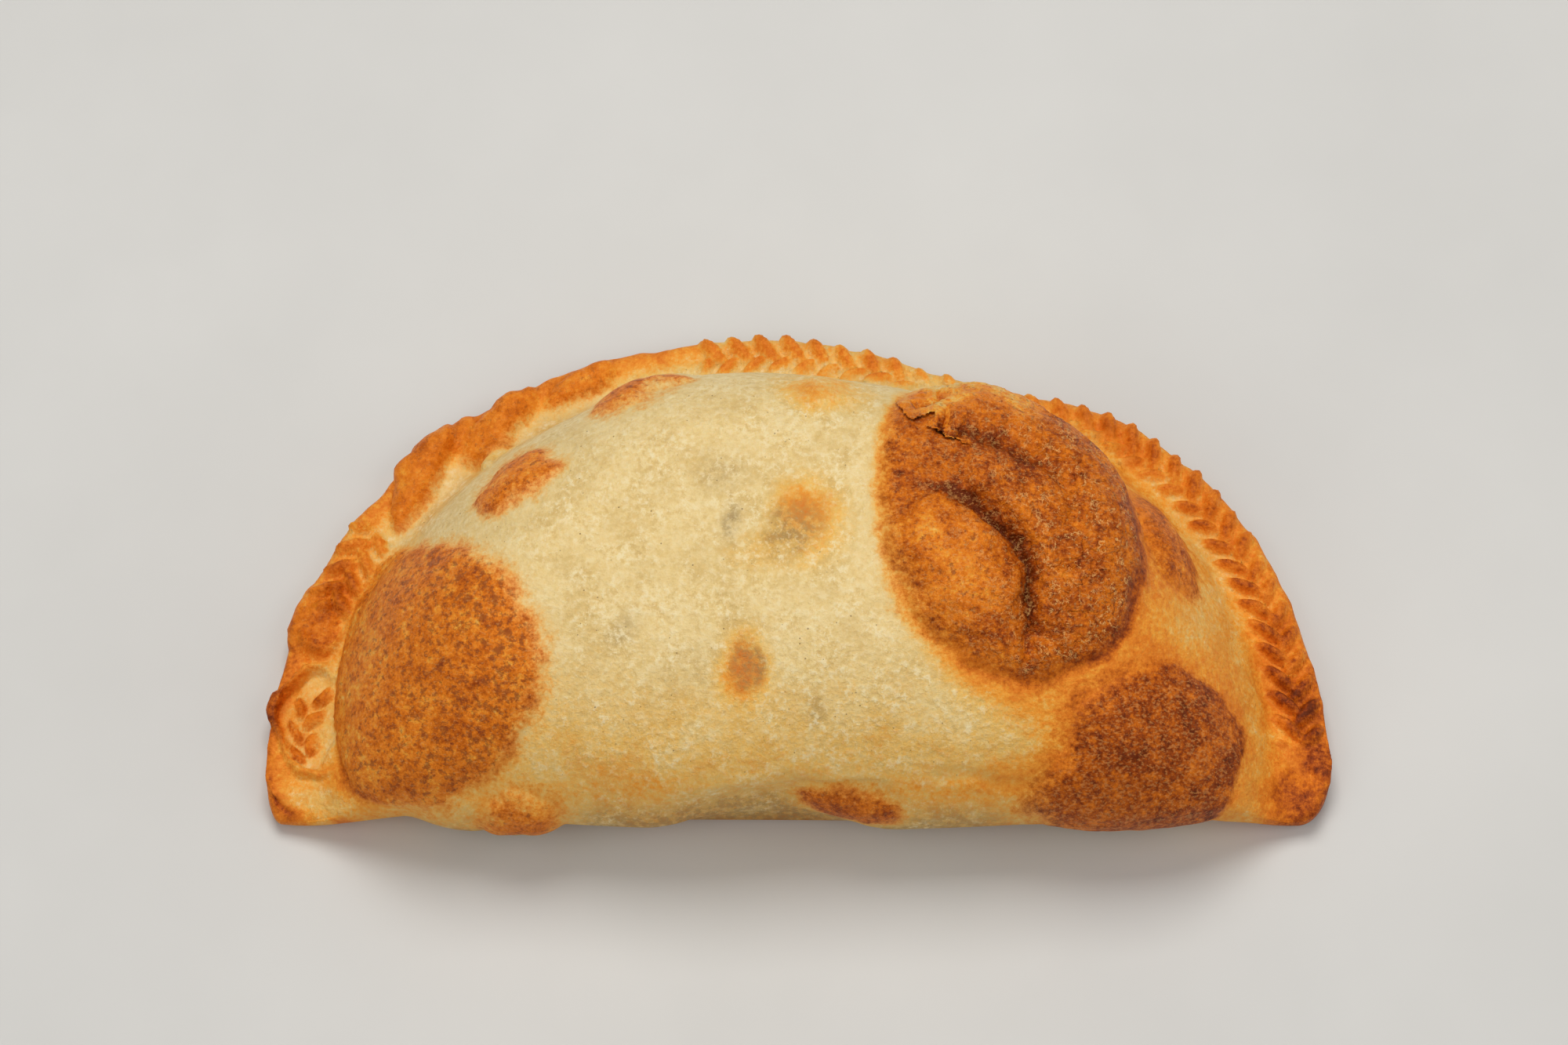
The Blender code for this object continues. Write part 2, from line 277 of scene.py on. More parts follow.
# ---------------------------------------------------------------------------
# What is raised on the body. Places and sizes are in mm on the leaning plane.
# ---------------------------------------------------------------------------


class Blister(NamedTuple):
    """A blister or bump: a smooth closed outline, and how high it swells inside.

    toast is its browning, and soft and soft_way say how wide its browned edge fades, and on which side.
    """

    outline: tuple
    height: float
    flatness: float
    lowest: float = 0.0
    toast: float = 0.0
    soft: float = 1.0
    soft_way: tuple = (0.0, 0.0)
    halo: float = 0.0


class Welt(NamedTuple):
    """A raised ridge, or a groove if its height is negative, along a smooth path."""

    path: tuple
    half_width: float
    height: float
    lowest: float = 0.0
    flatness: float = 2.0


class Stroke(NamedTuple):
    """A soft line along which blistered skin is browner, or paler if its shade is negative. Some strokes paint shade:
    in the slits, under the crescent and the torn skin, and along the left blister's wall.
    """

    path: tuple
    half_width: float
    shade: float


class Patch(NamedTuple):
    """An oval of browning with no relief."""

    across: float
    up: float
    half_length: float
    half_width: float
    turn: float
    toast: float
    softness: float


def oval(across, up, half_length, half_width, turn, corners=12):
    """The corners of a smooth oval outline."""
    turned = math.radians(turn)
    points = []
    for corner in range(corners):
        angle = 2 * math.pi * corner / corners
        along = half_length * math.cos(angle)
        aside = half_width * math.sin(angle)
        points.append(
            (
                across + along * math.cos(turned) - aside * math.sin(turned),
                up + along * math.sin(turned) + aside * math.cos(turned),
            )
        )
    return tuple(points)


BLISTERS = {
    "left": Blister(
        (
            (-58.8, 1.0), (-55.0, 5.6), (-48.5, 6.8), (-41.5, 6.8), (-36.6, 3.4), (-33.0, -2.5), (-32.0, -8.5),
            (-34.0, -15.5), (-38.6, -21.8), (-44.5, -25.4), (-53.0, -26.3), (-58.8, -23.5), (-60.7, -16.0),
            (-60.9, -7.0),
        ),
        2.8, 0.72, toast=0.57, soft=1.2, soft_way=(0.6, 0.1),
    ),
    "big": Blister(
        (
            (12.2, 24.5), (17.5, 28.4), (26.3, 28.3), (33.0, 24.8), (39.0, 18.6), (42.0, 10.5), (42.5, 3.0),
            (40.0, -4.5), (34.5, -8.4), (29.3, -9.6), (23.0, -7.8), (16.3, -4.2), (12.0, 2.8), (10.4, 10.0),
            (10.5, 18.0),
        ),
        3.0, 0.62, 16.0, 0.71, 1.3, (-0.5, -0.2), 0.76,
    ),
    "lobe": Blister(
        (
            (12.0, 10.8), (16.5, 12.6), (21.0, 11.0), (25.0, 7.2), (27.6, 2.0), (28.2, -4.0), (27.4, -9.0),
            (21.0, -7.2), (15.5, -3.4), (11.4, 2.6), (10.4, 7.6),
        ),
        1.5, 0.9,
    ),
    "small lobe": Blister(oval(31.4, -7.0, 2.6, 2.2, 20.0), 0.8, 0.8),
    "low right": Blister(
        (
            (38.7, -10.6), (43.0, -8.3), (48.0, -8.2), (53.2, -11.0), (57.0, -16.4), (56.6, -21.5),
            (54.0, -27.5), (50.0, -32.0), (40.0, -32.0), (33.0, -29.5), (29.5, -25.0), (33.2, -19.0),
            (35.4, -13.7),
        ),
        1.9, 0.8, toast=0.79, soft=1.4, soft_way=(-0.9, -0.3), halo=0.3,
    ),
    "slanted": Blister(
        (
            (-42.2, 12.3), (-40.6, 16.0), (-37.0, 18.9), (-33.0, 19.6), (-30.5, 17.8), (-32.6, 14.6),
            (-36.5, 12.0), (-40.0, 11.0),
        ),
        1.5, 0.8, toast=0.58, soft=1.3,
    ),
    "back left": Blister(
        (
            (-27.5, 24.0), (-26.2, 27.6), (-22.4, 30.4), (-17.0, 32.2), (-12.0, 33.0), (-12.4, 30.2),
            (-16.0, 27.8), (-20.5, 25.6), (-24.2, 23.6),
        ),
        1.7, 0.9, 14.0, 0.56, 1.5,
    ),
    "back": Blister(oval(2.9, 27.8, 5.5, 2.6, 0.0), 0.8, 1.2, 18.0),
    "half moon": Blister(oval(48.6, 7.0, 7.4, 2.8, -58.0), 1.6, 0.9, toast=0.66, soft=1.3),
    "back right": Blister(oval(41.0, 19.5, 5.5, 2.2, -42.0), 0.9, 1.0, toast=0.36, soft=2.0),
    "fold blister": Blister(oval(6.2, -27.0, 6.8, 2.4, -2.0), 1.4, 0.8, toast=0.70, soft=1.0),
    "fold bump": Blister(oval(-35.4, -27.4, 5.2, 3.2, 0.0), 2.0, 1.0, toast=0.54, soft=2.0),
    "low belly": Blister(oval(44.0, -27.0, 17.0, 4.0, 0.0), 0.5, 1.2),
    "fold hollow": Blister(oval(-3.0, -27.6, 18.0, 6.0, 2.0), -3.4, 1.7),
    "first crimp": Blister(
        (
            (-54.9, 9.3), (-55.8, 13.5), (-53.4, 18.2), (-49.8, 22.2), (-47.6, 22.0), (-48.4, 17.4),
            (-50.4, 12.6), (-52.8, 9.6),
        ),
        2.8, 0.5, toast=0.56, soft=0.7,
    ),
    "second crimp": Blister(oval(-46.8, 21.6, 3.4, 1.5, 52.0), 1.3, 0.9, toast=0.52, soft=1.2),
    "third crimp": Blister(
        (
            (-45.4, 17.6), (-46.4, 20.8), (-43.2, 24.4), (-39.0, 27.6), (-36.4, 27.8), (-37.0, 24.0),
            (-39.2, 20.6), (-42.0, 17.4),
        ),
        2.6, 0.55, toast=0.55, soft=0.9,
    ),
    "fourth crimp": Blister(
        ((-35.4, 25.6), (-34.0, 28.6), (-30.0, 31.2), (-25.2, 31.8), (-26.8, 28.4), (-30.6, 26.0)),
        2.0, 0.7, toast=0.53, soft=1.1,
    ),
    "rim knuckle": Blister(oval(-64.8, -3.0, 5.2, 3.4, 66.0), 1.4, 0.9, toast=0.56, soft=2.4),
    "left belly": Blister(oval(-43.4, -28.4, 8.0, 4.4, 0.0), 1.7, 1.5),
    "tip pocket": Blister(oval(-64.8, -16.0, 6.6, 3.8, 86.0), -1.1, 0.4),
}

# The blisters whose skin is speckled; the others are smoother.
SPECKLED = ("left", "big", "low right", "slanted", "back left", "half moon", "fold bump", "fold blister")

# A small ear of wheat lies in the pocket at the left tip.
for grain in range(6):
    side = 1 if grain % 2 else -1
    middle = (-65.6 + 1.0 * side + 0.22 * grain, -20.0 + 1.45 * grain)
    BLISTERS[f"ear of wheat {grain}"] = Blister(oval(*middle, 1.5, 0.8, 90.0 - 35.0 * side), 1.2, 0.5, toast=0.56, soft=0.4)


WELTS = {
    "crescent": Welt(
        (
            (14.6, 26.0), (20.0, 25.6), (26.0, 24.4), (32.0, 21.6), (36.5, 16.5), (39.0, 10.5), (39.8, 4.0),
            (38.0, -2.5),
        ),
        4.8, 2.4, 16.0, 0.6,
    ),
    "crescent foot": Welt(((19.0, 20.8), (25.0, 18.6), (30.7, 15.8), (34.0, 11.5), (35.4, 6.0)), 1.6, -0.8, 0.0, 1.0),
    "dip": Welt(((10.4, 15.6), (16.0, 14.6), (21.0, 12.6), (25.0, 9.4), (28.0, 4.0)), 3.0, -1.3, 0.0, 1.5),
    "collapse": Welt(
        ((19.0, 13.4), (23.2, 11.4), (26.8, 7.7), (28.4, 4.0), (28.6, -1.5), (29.0, -10.8)), 2.0, -1.9, 0.0, 1.2
    ),
    "collapse line": Welt(
        ((21.5, 12.4), (26.6, 7.7), (28.3, 4.0), (28.5, -1.5), (28.9, -10.8)), 0.7, -1.0
    ),
    "low notch": Welt(((29.2, -3.6), (30.8, -4.4), (32.8, -5.6), (34.8, -8.2)), 0.8, -0.8),
    "left wall": Welt(
        ((-60.4, -4.0), (-61.9, -10.0), (-61.4, -16.5), (-59.4, -21.6), (-55.6, -25.0)), 0.9, -0.5
    ),
    "fold crease": Welt(((-2.0, -24.0), (5.0, -23.6), (13.0, -24.6)), 1.2, -1.1),
    "low fold": Welt(((16.0, -21.0), (23.0, -22.6), (31.0, -23.0)), 1.3, -0.5),
    "pocket lip": Welt(
        (
            (-60.1, -21.1), (-61.0, -22.1), (-63.0, -22.8), (-65.3, -22.7), (-66.9, -21.7), (-68.2, -19.7),
            (-69.0, -17.4), (-69.0, -15.2), (-67.8, -12.4), (-66.7, -10.6), (-65.4, -9.4), (-63.4, -9.3),
            (-62.0, -10.4), (-61.2, -13.0),
        ),
        0.6, 1.3, 0.0, 1.0,
    ),
    "knuckle lip": Welt(
        (
            (-66.9, -3.6), (-66.7, -4.9), (-66.0, -6.2), (-64.6, -7.1), (-63.0, -6.9), (-61.6, -5.7),
            (-60.4, -4.4), (-59.6, -2.4),
        ),
        0.6, 0.7, 0.0, 1.0,
    ),
    "under the knuckle": Welt(((-66.6, -6.4), (-65.2, -8.0), (-63.2, -8.1), (-61.2, -6.8)), 0.8, -0.6),
    "corner fold": Welt(((-70.4, -25.0), (-68.6, -26.2), (-67.5, -27.2), (-66.0, -28.8)), 0.6, -0.4, 0.0, 1.0),
    "first slit": Welt(((14.9, 23.8), (15.9, 24.1), (17.0, 24.3), (17.9, 24.9), (18.6, 25.6)), 0.7, -1.3, 0.0, 1.0),
    "second slit": Welt(((17.6, 22.3), (18.4, 21.8), (19.2, 20.7), (20.2, 20.3), (21.6, 20.4)), 0.9, -1.5, 0.0, 1.0),
    "crevice": Welt(
        ((20.8, 20.4), (23.2, 19.0), (25.6, 18.4), (27.4, 17.0), (29.6, 16.2), (32.6, 16.4)), 1.2, -0.6, 0.0, 1.0
    ),
}

STROKES = {
    "collapse": Stroke(
        ((10.8, 15.2), (17.3, 14.0), (22.8, 11.6), (26.8, 7.7), (28.5, 4.0), (28.7, -1.5), (28.9, -10.5)),
        1.9, 0.34,
    ),
    # Painted shadow: darker just under the crescent's raised inner edge, where its shade falls.
    "under the crescent": Stroke(((17.0, 20.0), (23.0, 17.8), (27.6, 16.0), (31.6, 12.0)), 2.8, 0.1),
    "upper left": Stroke(((11.6, 22.0), (12.6, 18.0), (13.4, 14.6)), 2.6, 0.05),
    "right edge": Stroke(((40.4, 14.0), (42.4, 7.0), (42.0, 0.0), (38.6, -6.0), (32.0, -9.6)), 2.2, 0.1),
    "lobe": Stroke(((12.0, 11.0), (16.5, 7.0), (20.0, 2.0), (22.0, -5.0)), 6.0, -0.2),
    "crescent top": Stroke(((13.0, 26.6), (20.0, 26.0), (26.0, 24.6), (33.0, 21.0)), 5.0, -0.46),
    "right half": Stroke(((33.0, 14.0), (35.0, 6.0), (34.6, -2.0), (32.0, -7.0)), 6.0, 0.02),
    "left blister's rim side": Stroke(
        ((-50.0, 7.0), (-56.0, 1.0), (-57.0, -8.0), (-56.6, -16.0), (-54.0, -26.0)), 7.0, -0.1
    ),
    "pocket lip": Stroke(
        (
            (-60.1, -21.1), (-61.0, -22.1), (-63.0, -22.8), (-65.3, -22.7), (-66.9, -21.7), (-68.2, -19.7),
            (-69.0, -17.4), (-69.0, -15.2), (-67.8, -12.4), (-66.7, -10.6), (-65.4, -9.4), (-63.4, -9.3),
        ),
        1.0, 0.15,
    ),
    "pocket wall": Stroke(((-66.4, -11.4), (-68.1, -14.4), (-68.4, -17.6), (-67.2, -20.0)), 1.2, 0.18),
    "knuckle": Stroke(((-66.4, -5.4), (-64.6, -6.4), (-62.6, -5.8), (-60.8, -4.2)), 1.3, 0.16),
    "outer tip": Stroke(((-66.6, -1.0), (-68.0, -7.0), (-69.8, -13.0), (-70.4, -20.0), (-69.4, -25.0)), 1.6, 0.12),
    "corner fold": Stroke(((-70.2, -25.4), (-68.6, -26.4), (-67.5, -27.4), (-66.0, -28.8)), 0.9, 0.14),
    # Painted shade: the two slits are darkened to stand in for the shade inside them.
    "first slit": Stroke(((14.4, 23.6), (15.9, 24.1), (17.0, 24.3), (17.9, 24.9), (18.8, 25.8)), 0.8, 0.5),
    "second slit": Stroke(((17.4, 22.4), (18.4, 21.8), (19.2, 20.7), (20.2, 20.3), (21.8, 20.6)), 0.9, 0.6),
    # Painted shade: darker along the crevice under the torn skin's free edge.
    "crevice": Stroke(
        ((19.8, 20.8), (23.2, 19.4), (25.6, 18.6), (27.4, 17.2), (29.6, 16.2), (33.4, 16.8)), 1.3, 0.14
    ),
    "left corner": Stroke(((-70.2, -22.0), (-69.6, -25.0), (-67.6, -28.0), (-62.0, -29.4)), 2.6, 0.2),
    "rim fold": Stroke(((-65.0, -6.0), (-62.6, -2.0), (-60.6, 1.4), (-60.6, 4.6)), 2.6, 0.14),
    # The left blister's wall: partly a brown outline, partly a painted contact shadow along its foot.
    "left blister's wall": Stroke(
        ((-60.2, -4.0), (-60.9, -12.0), (-60.4, -18.0), (-58.0, -23.6), (-53.0, -26.0)), 0.9, 0.16
    ),
    "low right's foot": Stroke(((33.0, -26.5), (40.0, -29.0), (50.0, -29.0)), 4.0, -0.06),
    "low right's heart": Stroke(((40.0, -14.0), (45.0, -17.0), (51.0, -18.0)), 6.0, 0.08),
}

PATCHES = {
    "back": Patch(2.9, 27.8, 5.5, 2.6, 0.0, 0.32, 2.0),
    "tip pocket": Patch(-64.8, -16.0, 6.8, 4.0, 86.0, 0.27, 0.8),
    "left corner": Patch(-61.6, -26.2, 4.4, 1.7, -10.0, 0.22, 1.4),
    "middle spot": Patch(1.1, 10.8, 4.4, 3.4, 90.0, 0.42, 3.4),
    "middle spot tail": Patch(-1.6, 7.8, 5.0, 2.4, 20.0, 0.22, 2.6),
    "low spot": Patch(-6.9, -8.0, 4.4, 3.0, 90.0, 0.42, 2.2),
    "front left spot": Patch(-19.5, -23.3, 4.0, 1.6, 0.0, 0.31, 2.0),
    "front right streak": Patch(20.8, -24.0, 7.0, 1.6, -4.0, 0.36, 1.8),
    "front far streak": Patch(30.0, -22.0, 6.0, 2.4, 8.0, 0.36, 2.4),
    "big blister glow": Patch(32.0, 6.0, 19.6, 17.2, 78.0, 0.50, 3.6),
    "low blister glow": Patch(44.4, -17.5, 14.0, 13.5, 0.0, 0.47, 3.4),
}

GREY_PATCHES = (
    Patch(-0.6, 9.4, 6.4, 4.4, 50.0, 0.9, 3.0),
    Patch(-6.6, -7.6, 4.6, 3.0, 90.0, 1.5, 2.0),
    Patch(-8.7, 10.5, 4.4, 2.2, 90.0, 1.2, 2.4),
    Patch(-10.0, 16.5, 6.0, 4.0, 30.0, 0.45, 4.0),
    Patch(-22.2, -3.1, 4.0, 3.0, 60.0, 0.6, 3.0),
    Patch(2.1, -12.8, 3.6, 2.4, 80.0, 0.6, 2.4),
    Patch(-14.0, -8.0, 9.0, 5.0, 20.0, 0.25, 4.0),
)

# The torn skin that lifts off the big blister's crescent: its free edge, and the rest of its outline.
SKIN_EDGE = (
    (13.0, 26.4), (13.4, 25.5), (14.3, 24.6), (14.4, 23.7), (15.2, 23.5), (15.9, 24.2), (17.7, 24.9),
    (17.8, 24.5), (16.7, 23.6), (16.8, 22.9), (18.4, 22.1), (18.8, 21.5), (19.8, 21.1), (20.8, 20.7),
    (21.8, 20.7), (23.2, 20.1), (24.1, 19.3), (25.6, 19.1), (27.5, 18.2), (29.6, 17.4), (32.0, 17.6),
)
SKIN_BACK = ((36.0, 17.0), (34.0, 22.0), (29.0, 26.0), (24.0, 28.0), (19.0, 28.4), (15.0, 27.8))
SKIN_SPACING = 0.15
SKIN_RAGGEDNESS = 0.5
SKIN_LIFT = 0.45
SKIN_SINK = 0.3
SKIN_RISE_WIDTH = 3.2
SKIN_WHOLE_FROM = 19.0
SKIN_WHOLE_RUN = 6.0
SKIN_PALER = 0.16
SKIN_THICKNESS = 0.25

# The ornament: two rows of slanted wheat grains pressed into the rim, inside a smooth bead.
GRAIN_PITCH = 3.9 * MM
GRAIN_HALF_LENGTH = 2.0 * MM
GRAIN_HALF_WIDTH = 1.35 * MM
GRAIN_HEIGHT = 1.5 * MM
GRAIN_SLANT = 0.75
OUTER_ROW = 2.7 * MM
INNER_ROW = 5.4 * MM
BEAD_CENTRE = 1.4 * MM
BEAD_HALF_WIDTH = 1.5 * MM
BEAD_HEIGHT = 0.3 * MM
ORNAMENT_RUNS = ((0.105, 0.18), (0.435, 0.99))
RUN_FADE = 0.008

UNEVENNESS = 0.35 * MM
FRONT_ROOM = 0.9 * MM
EDGE_UNEVENNESS = 0.5 * MM

# How far features stray from their drawn places, in mm, because nothing on dough is regular.
WANDER = 0.8
WANDER_SIZE = 6.0 * MM


def above(lowest, height):
    """1 well above the lowest height of a feature and 0 below it."""
    return smooth((height - lowest) / FADE_HEIGHT) if lowest else 1.0


def patch_radius(patch, across, up):
    """0 at the patch's centre and 1 on its outline."""
    turn = math.radians(patch.turn)
    right = across - patch.across
    over = up - patch.up
    along = (right * math.cos(turn) + over * math.sin(turn)) / patch.half_length
    aside = (over * math.cos(turn) - right * math.sin(turn)) / patch.half_width
    return np.hypot(along, aside)


class Reach:
    """How far each point lies from a blister's centre, as a share of the way to its outline."""

    def __init__(self, outline, across, up):
        loop = smooth_path((*outline, outline[0]), closed=True)
        centre = loop.mean(axis=0)
        angles = np.arctan2(*(loop - centre).T[::-1])
        order = np.argsort(angles)
        radii = np.hypot(*(loop - centre).T)
        self.right = across - centre[0]
        self.over = up - centre[1]
        bearing = np.arctan2(self.over, self.right)
        self.limit = np.interp(bearing, angles[order], radii[order], period=2 * math.pi)
        self.distance = np.hypot(self.right, self.over)
        self.radius = self.distance / self.limit
        self.depth = self.limit - self.distance


def blister_relief(blister, reach, height):
    dome = np.maximum(1.0 - reach.radius**2, 0.0) ** blister.flatness
    return blister.height * dome * above(blister.lowest, height)


def smooth_path(corners, per_leg=10, closed=False):
    """Points of a Catmull-Rom curve through the corners."""
    corners = np.array(corners)
    if closed:
        padded = np.concatenate([corners[-2:-1], corners, corners[1:2]])
    else:
        padded = np.concatenate([[2 * corners[0] - corners[1]], corners, [2 * corners[-1] - corners[-2]]])
    t = np.linspace(0.0, 1.0, per_leg, endpoint=False)[:, None]
    legs = []
    for before, start, end, after in zip(padded, padded[1:], padded[2:], padded[3:]):
        bend = (2 * before - 5 * start + 4 * end - after) * t**2
        twist = (3 * (start - end) + after - before) * t**3
        legs.append(start + 0.5 * ((end - before) * t + bend + twist))
    return np.concatenate([*legs, corners[-1:]])


def from_path(path, across, up):
    """The distance to a smooth path, and how much the feature along it has faded at its ends."""
    path = smooth_path(path)
    gaps = np.hypot(across[:, None] - path[:, 0], up[:, None] - path[:, 1])
    share = gaps.argmin(axis=1) / (len(path) - 1)
    return gaps.min(axis=1), smooth(share * 4.0) * smooth((1.0 - share) * 4.0)


def welt_relief(welt, across, up, height):
    distance, ends = from_path(welt.path, across, up)
    wall = np.maximum(1.0 - (distance / welt.half_width) ** 2, 0.0) ** welt.flatness
    return welt.height * ends * wall * above(welt.lowest, height)


def stroke_shade(stroke, across, up):
    distance, ends = from_path(stroke.path, across, up)
    return stroke.shade * ends * (1.0 - smooth(distance / stroke.half_width))


def rim_coordinates(points):
    """The share of the rim's length nearest each point, and the distance in from the rim."""
    along, x, y = RIM_LINE
    tree = KDTree(len(x))
    for index, place in enumerate(zip(x, y)):
        tree.insert((*place, 0.0), index)
    tree.balance()
    found = [tree.find((px, py, 0.0)) for px, py in points[:, :2]]
    share = np.array([along[index] for _, index, _ in found])
    inward = np.array([distance for _, _, distance in found])
    return share, inward


def grain_row(along, inward, row, slant, shift):
    """One row of oval grains, each leaning along the rim by slant."""
    inside = inward - row
    place = (along - slant * inside) / GRAIN_PITCH - shift
    number = np.round(place)
    aside = (place - number) * GRAIN_PITCH / GRAIN_HALF_WIDTH
    size = 1.0 + 0.12 * np.sin(12.9898 * number + row / MM)
    reach = inside / (GRAIN_HALF_LENGTH * size)
    return size * np.sqrt(np.maximum(1.0 - aside**2 - reach**2, 0.0))


def noise_at(points, size, depth=3):
    """Fractal noise, about -1 to 1, with features of the given size."""
    scaled = points / size
    return np.array([noise.fractal(Vector(p), 0.9, 2.0, depth) for p in scaled])


class Surface:
    """The places that the relief and the browning are worked out from."""

    def __init__(self, mesh):
        self.points = read_points(mesh)
        self.normals = read_normals(mesh)
        x, y, z = self.points.T
        self.across = x / MM + WANDER * noise_at(self.points, WANDER_SIZE)
        self.up = (y * math.sin(LEAN) + z * math.cos(LEAN)) / MM + WANDER * noise_at(-self.points, WANDER_SIZE)
        self.height = z / MM
        facing = self.normals @ np.array(FACE)
        self.facing = smooth((facing + 0.35) / 0.3)
        self.seen = smooth((facing + 0.06) / 0.24)
        self.upward = smooth(self.normals[:, 2] * 2.0)
        self.inset = body_inset(x, y) / MM
        self.body = smooth(self.inset / 6.0)
        self.share, self.inward = rim_coordinates(self.points)
        self.reach = {name: Reach(blister.outline, self.across, self.up) for name, blister in BLISTERS.items()}
        self.wobble = noise_at(self.points, 2.2 * MM)

    def ornament(self):
        """0 off the pressed grains, up to 1 on their ridges."""
        along = self.share * RIM_LENGTH
        grains = grain_row(along, self.inward, OUTER_ROW, GRAIN_SLANT, 0.0)
        grains = np.maximum(grains, grain_row(along, self.inward, INNER_ROW, -GRAIN_SLANT, 0.5))
        return grains * self.in_ornament() * self.upward * (1.0 - self.body)

    def in_ornament(self):
        """1 along the stretches of rim that carry the ornament."""
        here = np.zeros(len(self.points))
        for start, end in ORNAMENT_RUNS:
            here += smooth((self.share - start) / RUN_FADE) * smooth((end - self.share) / RUN_FADE)
        return here


def relief_on(surface):
    """How far each vertex is pushed out along its normal."""
    s = surface
    swelling = sum(blister_relief(blister, s.reach[name], s.height) for name, blister in BLISTERS.items())
    welts = sum(welt_relief(welt, s.across, s.up, s.height) for welt in WELTS.values())
    waves = np.sin(s.across / 6.1 + 1.0) * np.cos(s.up / 7.3) + np.sin(s.across / 11.0 - s.up / 9.0)
    bead = np.sqrt(np.maximum(1.0 - ((s.inward - BEAD_CENTRE) / BEAD_HALF_WIDTH) ** 2, 0.0))
    relief = (swelling + welts) * MM * s.facing
    relief += UNEVENNESS * waves * s.body * s.upward
    relief += BEAD_HEIGHT * bead * s.upward * (1.0 - s.body)
    relief += GRAIN_HEIGHT * s.ornament()
    relief += EDGE_UNEVENNESS * noise_at(s.points, 7.0 * MM) * (1.0 - s.body) * s.upward
    return relief


def fine_relief(surface):
    """Small lumps in the dough, and wrinkles on the skin of the big blister."""
    s = surface
    wrinkled = smooth(s.reach["big"].depth / 2.0) * s.facing
    blistered = np.maximum(wrinkled, smooth(s.reach["low right"].depth / 3.0) * s.facing)
    wrinkles = 1.0 - 2.0 * np.abs(noise_at(s.points, 3.4 * MM, 4))
    lumps = noise_at(s.points, 5.0 * MM)
    return MM * s.upward * (0.07 * lumps + s.wobble * (0.035 + 0.05 * blistered) + 0.26 * wrinkles * wrinkled)


# ---------------------------------------------------------------------------
# Browning and some painted shade, kept on the mesh as named values for its material.
# ---------------------------------------------------------------------------


